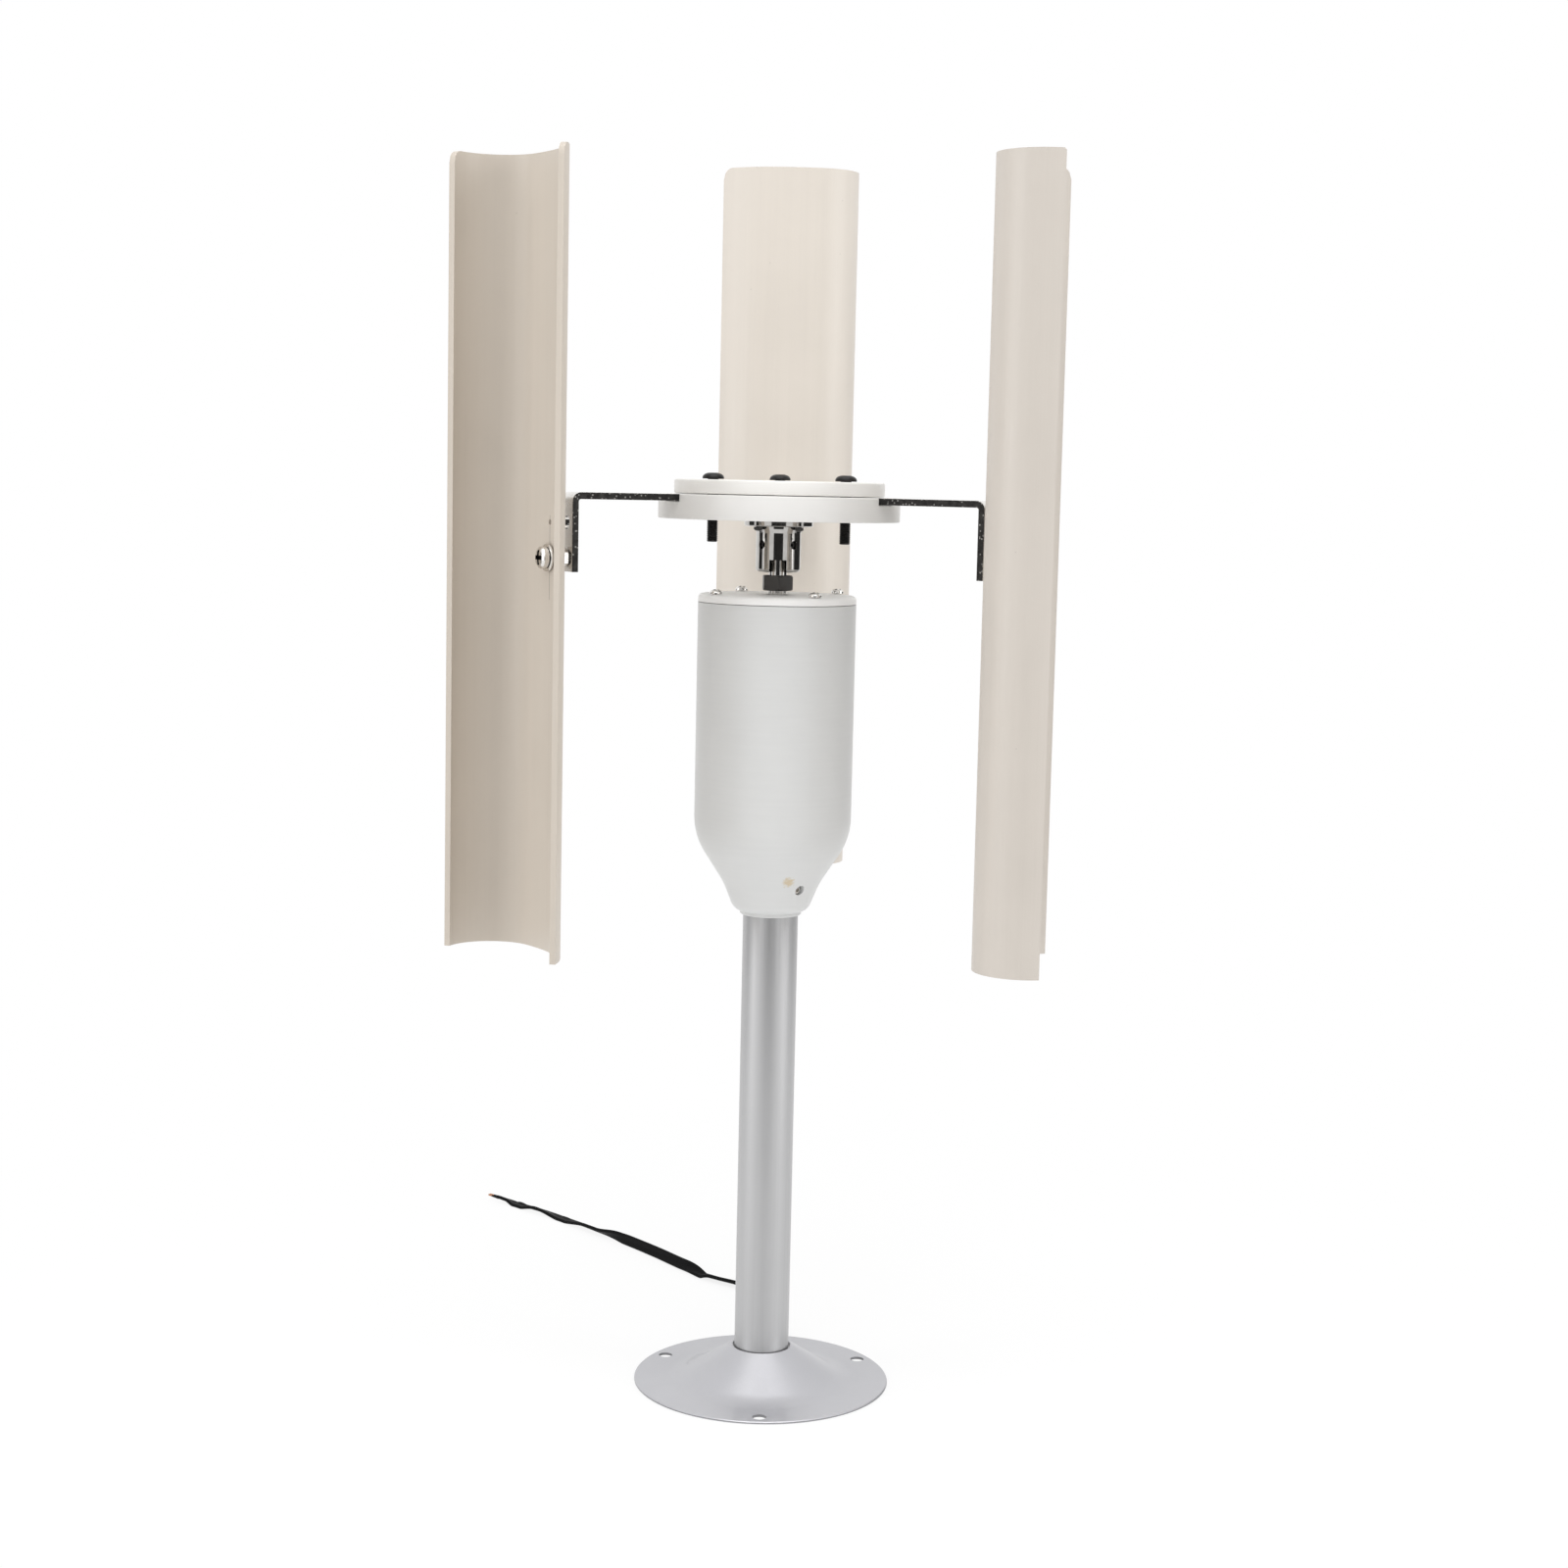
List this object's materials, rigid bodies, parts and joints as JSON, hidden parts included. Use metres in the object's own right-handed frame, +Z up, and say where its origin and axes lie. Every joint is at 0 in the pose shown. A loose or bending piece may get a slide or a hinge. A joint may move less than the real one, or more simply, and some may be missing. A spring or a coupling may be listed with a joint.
{
  "type": "vertical axis turbine",
  "caption": "Small vertical axis wind turbine: hooked upright blades on bracket arms turn a housed generator on top of a tubular mast with a dished round base and a loose output cable.",
  "frame": {"origin": "on the surface the base rests on, on the axis of the mast and the rotor", "axes": "+Z up along the rotor's axis; +Y along the arm whose blade sits higher; the cable leaves the mast toward +Y"},
  "size_m": [0.2829, 0.39, 0.565],
  "materials": {
    "silver_paint": "satin silver paint on pressed steel",
    "satin_metal": "satin tube",
    "bright_steel": "bright zinc or nickel plate",
    "dark_steel": "oiled dark steel",
    "white_plastic": "fine satin white",
    "ivory_plastic": "smooth warm ivory",
    "black_plastic": "satin black",
    "copper_wire": "enamelled copper",
    "magnet": "sintered grey",
    "cast_aluminium": "cast and turned",
    "black_rubber": "matt black rubber"
  },
  "bodies": {
    "stand": {"base_flange": "silver_paint", "mast_tube": "satin_metal", "foot_plate": "bright_steel", "foot_plug": "cast_aluminium", "foot_bolt": "bright_steel", "cable_grommet": "black_rubber", "output_cable": "black_rubber", "cable_core_1": "copper_wire", "cable_core_2": "copper_wire", "mast_cable": "black_rubber", "housing_shell": "white_plastic", "housing_cover": "white_plastic", "cover_screw_1": "bright_steel", "cover_screw_2": "bright_steel", "cover_screw_3": "bright_steel", "cover_screw_4": "bright_steel", "neck_set_screw": "dark_steel", "generator_rear_plate": "cast_aluminium", "generator_front_plate": "cast_aluminium", "generator_can": "bright_steel", "stator_core": "dark_steel", "stator_windings": "copper_wire", "front_bearing_outer_ring": "bright_steel", "rear_bearing_outer_ring": "bright_steel"},
    "rotor": {"front_bearing_inner_ring": "bright_steel", "rear_bearing_inner_ring": "bright_steel", "rotor_shaft": "bright_steel", "shaft_circlip": "dark_steel", "rotor_core": "dark_steel", "magnet_ring": "magnet", "lock_nut": "dark_steel", "coupling_hub": "bright_steel", "hub_grub_screw_1": "dark_steel", "hub_grub_screw_2": "dark_steel", "flange_screw_1": "dark_steel", "flange_screw_2": "dark_steel", "flange_screw_3": "dark_steel", "flange_screw_4": "dark_steel", "lower_disc": "white_plastic", "top_disc": "white_plastic", "arm_1": "bright_steel", "arm_2": "bright_steel", "arm_3": "bright_steel", "clamp_bolt_1": "black_plastic", "clamp_bolt_2": "black_plastic", "clamp_bolt_3": "black_plastic", "blade_1": "ivory_plastic", "blade_2": "ivory_plastic", "blade_3": "ivory_plastic", "blade_screw_1": "bright_steel", "blade_screw_2": "bright_steel", "blade_screw_3": "bright_steel", "blade_washer_1": "bright_steel", "blade_washer_2": "bright_steel", "blade_washer_3": "bright_steel", "blade_spacer_nut_1": "bright_steel", "blade_spacer_nut_2": "bright_steel", "blade_spacer_nut_3": "bright_steel"},
    "front_balls": {"front_bearing_balls": "bright_steel"},
    "rear_balls": {"rear_bearing_balls": "bright_steel"}
  },
  "joints": [
    {"name": "rotor_spin", "type": "hinge", "parent": "stand", "child": "rotor", "pos_m": [0, 0, 0.3658], "axis": [0, 0, 1], "continuous": true},
    {"name": "front_balls_spin", "type": "hinge", "parent": "stand", "child": "front_balls", "pos_m": [0, 0, 0.3535], "axis": [0, 0, 1], "continuous": true},
    {"name": "rear_balls_spin", "type": "hinge", "parent": "stand", "child": "rear_balls", "pos_m": [0, 0, 0.2875], "axis": [0, 0, 1], "continuous": true}
  ],
  "couplings": [
    {"joint": "front_balls_spin", "follows": "rotor_spin", "ratio": 0.3867},
    {"joint": "rear_balls_spin", "follows": "rotor_spin", "ratio": 0.3867}
  ]
}
